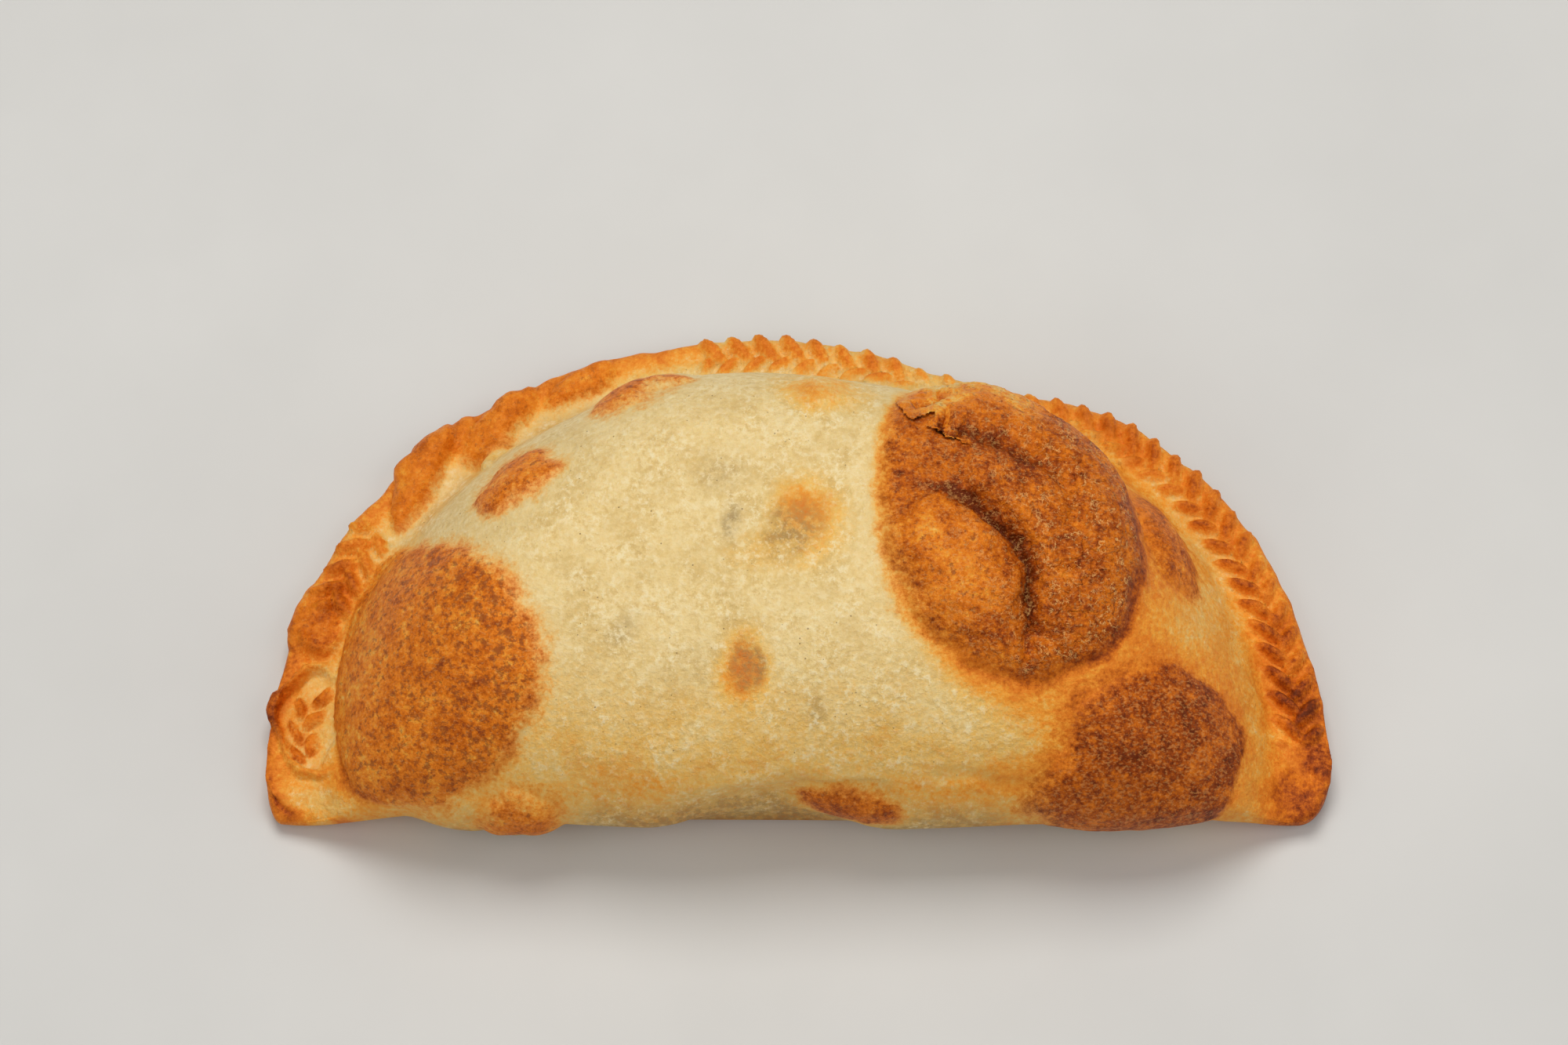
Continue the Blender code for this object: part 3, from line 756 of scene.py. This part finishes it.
def browning(surface):
    """Named values for each vertex: how brown it is outside and inside the blisters, and the kind of grain; grey also
    carries painted shade low on the front belly.
    """
    s = surface
    right = smooth((s.across - 30.0) / 22.0)
    left = smooth((-s.across - 52.0) / 8.0)
    front = smooth((-s.up - 2.0) / 24.0)
    low = smooth((8.0 - s.up) / 20.0)
    glow = 0.07 + 0.23 * right + 0.18 * front * (1.0 - right) + 0.28 * left
    rim_colour = np.interp(
        s.share, (0.0, 0.06, 0.2, 0.4, 0.5, 0.7, 0.9, 1.0), (0.50, 0.52, 0.54, 0.46, 0.44, 0.56, 0.66, 0.78)
    )
    grains = s.ornament()
    outer = 1.0 - smooth((s.inward / MM - 1.6) / 4.6)
    valley = 0.13 + (0.12 + 0.22 * low) * right + 0.2 * left
    covered = s.in_ornament()
    browned = np.maximum(outer * (1.0 - (0.65 - 0.3 * s.share) * covered), 1.1 * grains)
    rim = valley + (rim_colour - valley) * np.clip(browned, 0.0, 1.0) + 0.06 * grains
    onto_rim = 1.0 - smooth((s.inset + 1.0) / 3.0)
    glow = np.maximum(glow, 0.19 * (1.0 - smooth(s.inset / 9.0)))
    glow = glow * (1.0 - onto_rim) + rim * onto_rim
    tips = smooth((np.abs(s.across) - 52.0) / 14.0) * smooth((-s.up - 16.0) / 9.0)
    glow = np.maximum(glow, tips * np.where(s.across > 0.0, 0.76, 0.40))
    for patch in PATCHES.values():
        radius = patch_radius(patch, s.across, s.up)
        size = min(patch.half_length, patch.half_width)
        level = smooth(((1.0 - radius) * size + patch.softness) / (2.0 * patch.softness))
        glow = glow + (patch.toast - glow) * level * s.seen
    off_the_rim = smooth((s.height - 7.0) / 3.0)
    inside = np.full(len(s.points), -6.0)
    toast = np.full(len(s.points), 0.5)
    for name, blister in BLISTERS.items():
        if not blister.toast:
            continue
        reach = s.reach[name]
        way = (reach.right * blister.soft_way[0] + reach.over * blister.soft_way[1]) / reach.limit
        soft = blister.soft * (1.0 + np.clip(way, -0.6, 1.0))
        depth = reach.depth / soft
        seen = s.seen * off_the_rim if blister.lowest else s.seen
        depth = depth * seen - 6.0 * (1.0 - seen)
        toast = np.where(depth > inside, blister.toast, toast)
        inside = np.maximum(inside, depth)
        right = smooth(0.5 + 0.6 * reach.right / reach.limit)
        halo = blister.halo * (0.4 + 0.6 * right) * smooth(1.0 + reach.depth / (2.4 + 1.6 * right))
        glow = np.maximum(glow, halo * seen)
    shade = sum(stroke_shade(stroke, s.across, s.up) for stroke in STROKES.values()) * s.seen
    toast = toast + shade
    glow = glow + shade
    # Browner towards the floor: partly the underside browning on the tray, partly painted shade on the dim underside.
    under = 1.0 - smooth((s.height - 0.2) / 5.0)
    glow = np.maximum(glow, 0.45 * under)
    grey = sum(
        patch.toast * smooth((1.0 - patch_radius(patch, s.across, s.up)) * patch.half_width / patch.softness)
        for patch in GREY_PATCHES
    )
    # Painted shade: the dough low on the front belly is greyed to stand in for the shade under the fold.
    belly = smooth((-s.up - 10.0) / 8.0) * (1.0 - smooth((np.abs(s.across) - 40.0) / 12.0))
    painted_belly_shade = (1.0 - smooth((s.height - 11.0) / 7.0)) * belly
    left = s.reach["left"]
    big = s.reach["big"]
    low_right = s.reach["low right"]
    speckled = sum(smooth(s.reach[name].depth / 2.0 + 0.5) for name in SPECKLED) * s.seen
    speckle = smooth(0.6 + 0.5 * left.right / left.limit) * smooth(left.depth / 3.0)
    fleck = 0.4 * smooth(big.depth / 2.0) + smooth(low_right.depth / 3.0)
    crackle = smooth(big.depth / 2.0) * smooth(0.6 + 0.5 * big.right / big.limit)
    return {
        "glow": glow,
        "inside": np.clip(inside, -6.0, 6.0),
        "toast": toast,
        # grey holds the grey patches and the painted shade low on the front belly.
        "grey": grey * s.seen + 0.9 * painted_belly_shade * (1.0 - onto_rim),
        "speckle": speckle * s.seen,
        "fleck": fleck * s.seen,
        "crackle": crackle * s.seen,
        "grainy": np.clip(speckled, 0.65, 1.0),
    }


def store(mesh, name, values):
    attribute = mesh.attributes.new(name, "FLOAT", "POINT")
    attribute.data.foreach_set("value", np.asarray(values, np.float32))


def fit_to_box(points, low, high):
    """Stretch the points to fill the CAD solid's box, but for a little room in front."""
    least, most = points.min(axis=0), points.max(axis=0)
    low = np.array(low) + (0.0, FRONT_ROOM, 0.0)
    return low + (points - least) * (np.array(high) - low) / (most - least)


def make_crust():
    mesh = body_mesh()
    surface = Surface(mesh)
    for name, values in browning(surface).items():
        store(mesh, name, values)
    write_points(mesh, surface.points + surface.normals * relief_on(surface)[:, None])
    write_points(mesh, read_points(mesh) + read_normals(mesh) * fine_relief(surface)[:, None])
    write_points(mesh, fit_to_box(read_points(mesh), *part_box("empanada")))
    mesh.shade_smooth()
    crust = bpy.data.objects.new("crust", mesh)
    bpy.context.scene.collection.objects.link(crust)
    return crust


def inside_loop(loop, across, up):
    """Whether each place lies inside a closed outline, by counting the sides to its right."""
    within = np.zeros(across.shape, bool)
    for (start_x, start_y), (end_x, end_y) in zip(loop, [*loop[1:], loop[0]]):
        spans = (start_y > up) != (end_y > up)
        rise = end_y - start_y if end_y != start_y else 1.0
        within ^= spans & (across < start_x + (up - start_y) * (end_x - start_x) / rise)
    return within


def make_torn_skin(crust):
    """A thin flake of skin that stands off the crust along its torn edge and sinks into it further back."""
    back = Vector(FACE)
    rise = Vector((0.0, math.sin(LEAN), math.cos(LEAN)))
    tree = BVHTree.FromPolygons(read_points(crust.data).tolist(), [face.vertices[:] for face in crust.data.polygons])
    loop = [*SKIN_EDGE, *SKIN_BACK]
    low, high = np.min(loop, axis=0) - 1.0, np.max(loop, axis=0) + 1.0
    columns = np.arange(low[0], high[0], SKIN_SPACING)
    rows = np.arange(low[1], high[1], SKIN_SPACING)
    across, up = [axis.ravel() for axis in np.meshgrid(columns, rows, indexing="ij")]
    flat = np.stack([across, up, 0.0 * up], axis=1)
    ragged = SKIN_RAGGEDNESS * np.array([noise_at(flat + shift, 1.6, 5) for shift in (0.0, 50.0)])
    within = inside_loop(loop, across + ragged[0], up + ragged[1]).reshape(len(columns), len(rows))
    distance = from_path(SKIN_EDGE, across, up)[0]
    torn_side = 1.0 - smooth((across - SKIN_WHOLE_FROM) / SKIN_WHOLE_RUN)
    lift = (SKIN_LIFT + SKIN_SINK) * torn_side * (1.0 - smooth(distance / SKIN_RISE_WIDTH)) - SKIN_SINK
    faces = within[:-1, :-1] & within[1:, :-1] & within[1:, 1:] & within[:-1, 1:]
    spots = {}
    tops, nearest = [], []
    quads = []
    for column, row in np.argwhere(faces):
        quad = []
        for corner in ((column, row), (column + 1, row), (column + 1, row + 1), (column, row + 1)):
            spot = corner[0] * len(rows) + corner[1]
            if spot not in spots:
                start = Vector((across[spot], 0.0, 0.0)) * MM + rise * (up[spot] * MM) + back * (60.0 * MM)
                hit, normal, face, _ = tree.ray_cast(start, -back)
                spots[spot] = len(tops)
                tops.append(hit + normal * (lift[spot] * MM))
                nearest.append(crust.data.polygons[face].vertices[0])
            quad.append(spots[spot])
        quads.append(quad)
    count = len(tops)
    sides = {}
    for quad in quads:
        for start, end in zip(quad, quad[1:] + quad[:1]):
            if (end, start) in sides:
                del sides[end, start]
            else:
                sides[start, end] = True
    walls = [[end, start, start + count, end + count] for start, end in sides]
    unders = [[corner + count for corner in reversed(quad)] for quad in quads]
    bottoms = [top - back * (SKIN_THICKNESS * MM) for top in tops]
    mesh = bpy.data.meshes.new("torn_skin")
    mesh.from_pydata(tops + bottoms, [], quads + unders + walls)
    for attribute in [each for each in crust.data.attributes if each.data_type == "FLOAT"]:
        values = np.empty(len(crust.data.vertices), np.float32)
        attribute.data.foreach_get("value", values)
        values = np.tile(values[nearest], 2)
        if attribute.name == "toast":
            values -= SKIN_PALER
        store(mesh, attribute.name, values)
    mesh.shade_smooth()
    skin = bpy.data.objects.new("torn_skin", mesh)
    bpy.context.scene.collection.objects.link(skin)
    return skin


# ---------------------------------------------------------------------------
# Materials.
# ---------------------------------------------------------------------------


def srgb(red, green, blue):
    """A linear colour from 0-255 screen values."""
    channels = [value / 255.0 for value in (red, green, blue)]
    return (*[c / 12.92 if c <= 0.04045 else ((c + 0.055) / 1.055) ** 2.4 for c in channels], 1.0)


class Nodes:
    """Short calls for building a material's node tree."""

    def __init__(self, material):
        material.use_nodes = True
        self.tree = material.node_tree
        self.shader = self.tree.nodes["Principled BSDF"]

    def add(self, kind, settings=None, **inputs):
        node = self.tree.nodes.new("ShaderNode" + kind)
        for name, value in (settings or {}).items():
            setattr(node, name, value)
        for name, value in inputs.items():
            self.put(node.inputs[int(name[1:])] if name[0] == "i" and name[1:].isdigit() else node.inputs[name], value)
        return node

    def put(self, socket, value):
        if isinstance(value, bpy.types.NodeSocket):
            self.tree.links.new(value, socket)
        else:
            socket.default_value = value

    def math(self, operation, first, second=0.0, third=0.0):
        return self.add("Math", {"operation": operation}, i0=first, i1=second, i2=third).outputs[0]

    def around_zero(self, noise, amount):
        """A noise of 0 to 1 turned into one about zero, and scaled."""
        return self.math("MULTIPLY_ADD", noise, amount, -0.5 * amount)

    def value(self, name):
        return self.add("Attribute", {"attribute_name": name}).outputs["Fac"]

    def place(self):
        """Where a point is, pressed towards the leaning plane so that marks on steep flanks grow longer."""
        point = self.add("TexCoord").outputs["Object"]
        off_plane = self.add("VectorMath", {"operation": "DOT_PRODUCT"}, i0=point)
        off_plane.inputs[1].default_value = FACE
        pressed = self.add("VectorMath", {"operation": "MULTIPLY_ADD"}, i0=off_plane.outputs["Value"], i2=point)
        pressed.inputs[1].default_value = [-PRESSED * axis for axis in FACE]
        return pressed.outputs[0]

    def noise(self, size, detail=3.0, roughness=0.55, stretch=None, distortion=0.0):
        """Noise from 0 to 1 with features of about the given size in metres."""
        vector = self.place()
        if stretch:
            turn, scale = stretch
            mapping = self.add("Mapping", Vector=vector, Scale=scale, Rotation=turn)
            vector = mapping.outputs[0]
        node = self.add("TexNoise", Vector=vector, Scale=1.0 / size, Detail=detail, Roughness=roughness,
                        Distortion=distortion)
        return node.outputs["Fac"]

    def step(self, value, start, end):
        """An S-curve from 0 to 1 as the value goes from start to end."""
        node = self.add("MapRange", {"interpolation_type": "SMOOTHSTEP"}, Value=value)
        node.inputs["From Min"].default_value = start
        node.inputs["From Max"].default_value = end
        return node.outputs[0]

    def mix(self, share, first, second, blend="MIX"):
        node = self.add("Mix", {"data_type": "RGBA", "blend_type": blend})
        self.put(node.inputs[0], share)
        self.put(node.inputs[6], first)
        self.put(node.inputs[7], second)
        return node.outputs[2]

    def ramp(self, value, stops):
        node = self.add("ValToRGB", Fac=value)
        elements = node.color_ramp.elements
        while len(elements) < len(stops):
            elements.new(0.5)
        for element, (place, colour) in zip(elements, stops):
            element.position = place
            element.color = colour
        return node.outputs[0]


BAKE_COLOURS = (
    (0.00, srgb(234, 212, 158)),
    (0.10, srgb(230, 200, 134)),
    (0.22, srgb(236, 188, 98)),
    (0.36, srgb(238, 158, 52)),
    (0.50, srgb(228, 129, 30)),
    (0.62, srgb(210, 111, 16)),
    (0.74, srgb(182, 88, 10)),
    (0.86, srgb(144, 60, 3)),
    (1.00, srgb(102, 38, 1)),
)
PURPLE_SPECKLE = srgb(112, 52, 30)
TAN_FLECK = srgb(216, 150, 84)
TAN_EDGE_AND_HIGHLIGHT = srgb(246, 192, 116)
CREAM = srgb(242, 226, 182)
PAINTED_GAP_SHADE = srgb(206, 170, 100)
# GREY_DOUGH tints the grey patches and paints the shade low on the front belly.
GREY_DOUGH = srgb(144, 117, 76)
DARK_SPECK = srgb(104, 66, 28)


def crust_material():
    material = bpy.data.materials.new("baked_crust")
    n = Nodes(material)
    shader = n.shader
    cloud = n.noise(6.0 * MM, 3.0, 0.5)
    broad = n.noise(3.4 * MM, 4.0, 0.6)
    torn = n.noise(1.3 * MM, 5.0, 0.7)
    grain = n.noise(0.6 * MM, 4.0, 0.7)
    pores = n.noise(0.4 * MM, 3.0, 0.6)

    # Where the skin is a browned blister, fading into the dough around it.
    inside = n.math("ADD", n.value("inside"), n.around_zero(broad, 1.8))
    inside = n.math("ADD", inside, n.around_zero(torn, 1.2))
    inside = n.math("ADD", inside, n.around_zero(grain, 1.8))
    within = n.step(inside, -1.2, 1.4)

    # How baked it is, outside the blisters and in them.
    rough = n.math("MULTIPLY_ADD", n.value("glow"), 1.1, 0.09)
    outside = n.math("MULTIPLY_ADD", n.around_zero(cloud, 0.9), rough, n.value("glow"))
    outside = n.math("MULTIPLY_ADD", n.around_zero(torn, 0.8), rough, outside)
    outside = n.math("MULTIPLY_ADD", n.around_zero(grain, 0.9), rough, outside)
    mottle = n.math("ADD", n.around_zero(torn, 0.7), n.around_zero(grain, 0.8))
    baked = n.math("ADD", n.value("toast"), n.around_zero(broad, 0.7))
    baked = n.math("MULTIPLY_ADD", mottle, n.value("grainy"), baked)
    level = n.math("MULTIPLY_ADD", n.math("SUBTRACT", baked, outside), within, outside)
    colour = n.mix(within, n.ramp(outside, BAKE_COLOURS), n.ramp(baked, BAKE_COLOURS))
    colour = n.mix(0.5, colour, n.ramp(level, BAKE_COLOURS))

    # Marks in the pale dough: cream granules with darker gaps painted as shade between them, greyish patches together
    # with the painted shade low on the front belly, and dark specks.
    pale = n.math("MULTIPLY", n.step(level, 0.38, 0.1), n.step(inside, 0.5, -2.6))
    granules = n.noise(0.95 * MM, 4.0, 0.65)
    grainy_dough = n.math("MULTIPLY", n.math("MULTIPLY_ADD", n.step(broad, 0.4, 0.62), 0.6, 0.4), pale)
    # Painted shade: the low gaps between the raised granules are darkened.
    gaps = n.math("MULTIPLY", n.step(granules, 0.5, 0.38), 0.55)
    colour = n.mix(n.math("MULTIPLY", gaps, grainy_dough), colour, PAINTED_GAP_SHADE)
    # Grey patches in the dough, and the painted shade low on the front belly that the grey value carries.
    greying_and_painted_shade = n.math("MULTIPLY_ADD", n.step(cloud, 0.44, 0.62), 0.2, n.value("grey"))
    greying_and_painted_shade = n.math("MULTIPLY", greying_and_painted_shade, n.math("MULTIPLY_ADD", n.step(torn, 0.40, 0.58), 0.6, 0.4))
    dull = n.math("MULTIPLY", n.step(level, 0.7, 0.2), n.step(inside, 0.5, -3.0))
    colour = n.mix(n.math("MULTIPLY", n.math("MULTIPLY", greying_and_painted_shade, dull), 0.7), colour, GREY_DOUGH)
    cream = n.math("MULTIPLY", n.step(granules, 0.5, 0.64), 0.75)
    cream = n.math("MAXIMUM", cream, n.math("MULTIPLY", n.step(pores, 0.54, 0.68), 0.6))
    colour = n.mix(n.math("MULTIPLY", cream, grainy_dough), colour, CREAM)
    dots = n.add("TexVoronoi", {"feature": "F1"}, Vector=n.place(), Scale=1.0 / (1.5 * MM))
    speck = n.math("MULTIPLY", n.step(dots.outputs["Distance"], 0.09, 0.05), n.step(torn, 0.44, 0.5))
    colour = n.mix(n.math("MULTIPLY", speck, n.math("MULTIPLY", pale, 0.7)), colour, DARK_SPECK)

    # Marks in the browned skin: dark speckles, tan flecks and the bright edges of its flakes, partly pale torn skin
    # and partly painted highlight.
    clumps = n.math("MULTIPLY_ADD", n.value("speckle"), 0.08, n.noise(0.9 * MM, 5.0, 0.7))
    grainy = n.math("MULTIPLY", within, n.value("grainy"))
    speckles = n.math("MULTIPLY", n.step(clumps, 0.54, 0.67), grainy)
    colour = n.mix(n.math("MULTIPLY", speckles, 0.62), colour, PURPLE_SPECKLE)
    streaks = n.noise(0.5 * MM, 3.0, 0.6, stretch=((0.0, 0.0, 0.6), (1.0, 1.8, 1.0)))
    flecks = n.math("MULTIPLY_ADD", n.value("fleck"), 0.05, streaks)
    flecks = n.math("MULTIPLY", n.step(flecks, 0.56, 0.66), grainy)
    colour = n.mix(n.math("MULTIPLY", flecks, 0.42), colour, TAN_FLECK)
    flaky = n.math("MULTIPLY", n.value("crackle"), within)
    flakes = n.noise(3.6 * MM, 7.0, 0.7)
    # The bright flake edges are partly pale torn skin and partly painted highlight where the flake edges catch the
    # light.
    edges = n.step(n.math("PINGPONG", flakes, 0.08), 0.02, 0.003)
    edges = n.math("MULTIPLY", n.math("MULTIPLY", edges, flaky), n.step(torn, 0.44, 0.58))
    colour = n.mix(n.math("MULTIPLY", edges, 0.75), colour, TAN_EDGE_AND_HIGHLIGHT)
    n.put(shader.inputs["Base Color"], colour)

    roughness = n.math("MULTIPLY_ADD", grain, 0.2, n.math("MULTIPLY_ADD", within, -0.1, 0.48))
    n.put(shader.inputs["Roughness"], roughness)
    n.put(shader.inputs["Specular IOR Level"], n.math("MULTIPLY_ADD", within, -0.08, 0.2))
    shader.inputs["Subsurface Weight"].default_value = 0.1
    shader.inputs["Subsurface Radius"].default_value = (1.0, 0.6, 0.25)
    shader.inputs["Subsurface Scale"].default_value = 0.0015
    pitted = n.math("MULTIPLY_ADD", grainy, 0.7, 0.3)
    height = n.math("ADD", n.around_zero(torn, 1.0), n.around_zero(pores, 0.3))
    height = n.math("MULTIPLY", height, pitted)
    unblistered = n.math("SUBTRACT", 1.0, within)
    height = n.math("MULTIPLY_ADD", n.math("MULTIPLY", n.around_zero(granules, 1.0), unblistered), 0.9, height)
    plates = n.step(n.noise(2.4 * MM, 4.0, 0.6, distortion=0.6), 0.44, 0.54)
    height = n.math("MULTIPLY_ADD", n.math("MULTIPLY", plates, flaky), 0.5, height)
    bump = n.add("Bump", Height=height, Distance=0.0004, Strength=1.0)
    n.put(shader.inputs["Normal"], bump.outputs[0])
    return material


def floor_material():
    material = bpy.data.materials.new("pale_floor")
    n = Nodes(material)
    tone = n.ramp(n.noise(60.0 * MM, 4.0, 0.6), ((0.3, (0.60, 0.60, 0.59, 1.0)), (0.7, (0.64, 0.64, 0.63, 1.0))))
    n.put(n.shader.inputs["Base Color"], tone)
    n.shader.inputs["Roughness"].default_value = 0.6
    return material


# ---------------------------------------------------------------------------
# The stage: floor, light and camera.
# ---------------------------------------------------------------------------


def make_floor():
    bm = bmesh.new()
    bmesh.ops.create_grid(bm, x_segments=1, y_segments=1, size=1.5)
    mesh = bpy.data.meshes.new("floor")
    bm.to_mesh(mesh)
    bm.free()
    floor = bpy.data.objects.new("floor", mesh)
    floor.location.z = CAD_BOX[0][2] - 0.02 * MM
    mesh.materials.append(floor_material())
    bpy.context.scene.collection.objects.link(floor)
    return floor


def add_light(name, place, size, power, warmth=1.0):
    light = bpy.data.lights.new(name, "AREA")
    light.size = size
    light.energy = power
    light.color = (1.0, 1.0 - 0.03 * warmth, 1.0 - 0.08 * warmth)
    lamp = bpy.data.objects.new(name, light)
    lamp.location = place
    lamp.rotation_euler = (-Vector(place)).to_track_quat("-Z", "Y").to_euler()
    bpy.context.scene.collection.objects.link(lamp)


def make_lights():
    add_light("key", (-0.04, 0.32, 0.84), 0.5, 4.8)
    add_light("left fill", (-0.5, -0.5, 0.7), 0.7, 2.2)
    add_light("right fill", (0.6, -0.3, 0.6), 0.7, 2.1)
    world = bpy.data.worlds.new("room")
    bpy.context.scene.world = world
    world.use_nodes = True
    world.node_tree.nodes["Background"].inputs["Color"].default_value = (1.0, 1.0, 1.0, 1.0)
    world.node_tree.nodes["Background"].inputs["Strength"].default_value = 0.24


def make_camera():
    camera = bpy.data.cameras.new("camera")
    camera.lens = 85.0
    camera.sensor_width = 36.0
    camera.clip_start = 0.01
    holder = bpy.data.objects.new("camera", camera)
    aim = Vector((-1.7, 3.3, 15.9)) * MM
    back = Vector(FACE)
    holder.location = aim + back * 0.4906
    holder.rotation_euler = back.to_track_quat("Z", "Y").to_euler()
    bpy.context.scene.collection.objects.link(holder)
    bpy.context.scene.camera = holder


crust = make_crust()
baked_crust = crust_material()
for piece in (crust, make_torn_skin(crust)):
    piece.data.materials.append(baked_crust)
    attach(piece, "root")
    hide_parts("empanada")
make_floor()
make_lights()
make_camera()
bpy.context.scene.view_settings.view_transform = "Standard"
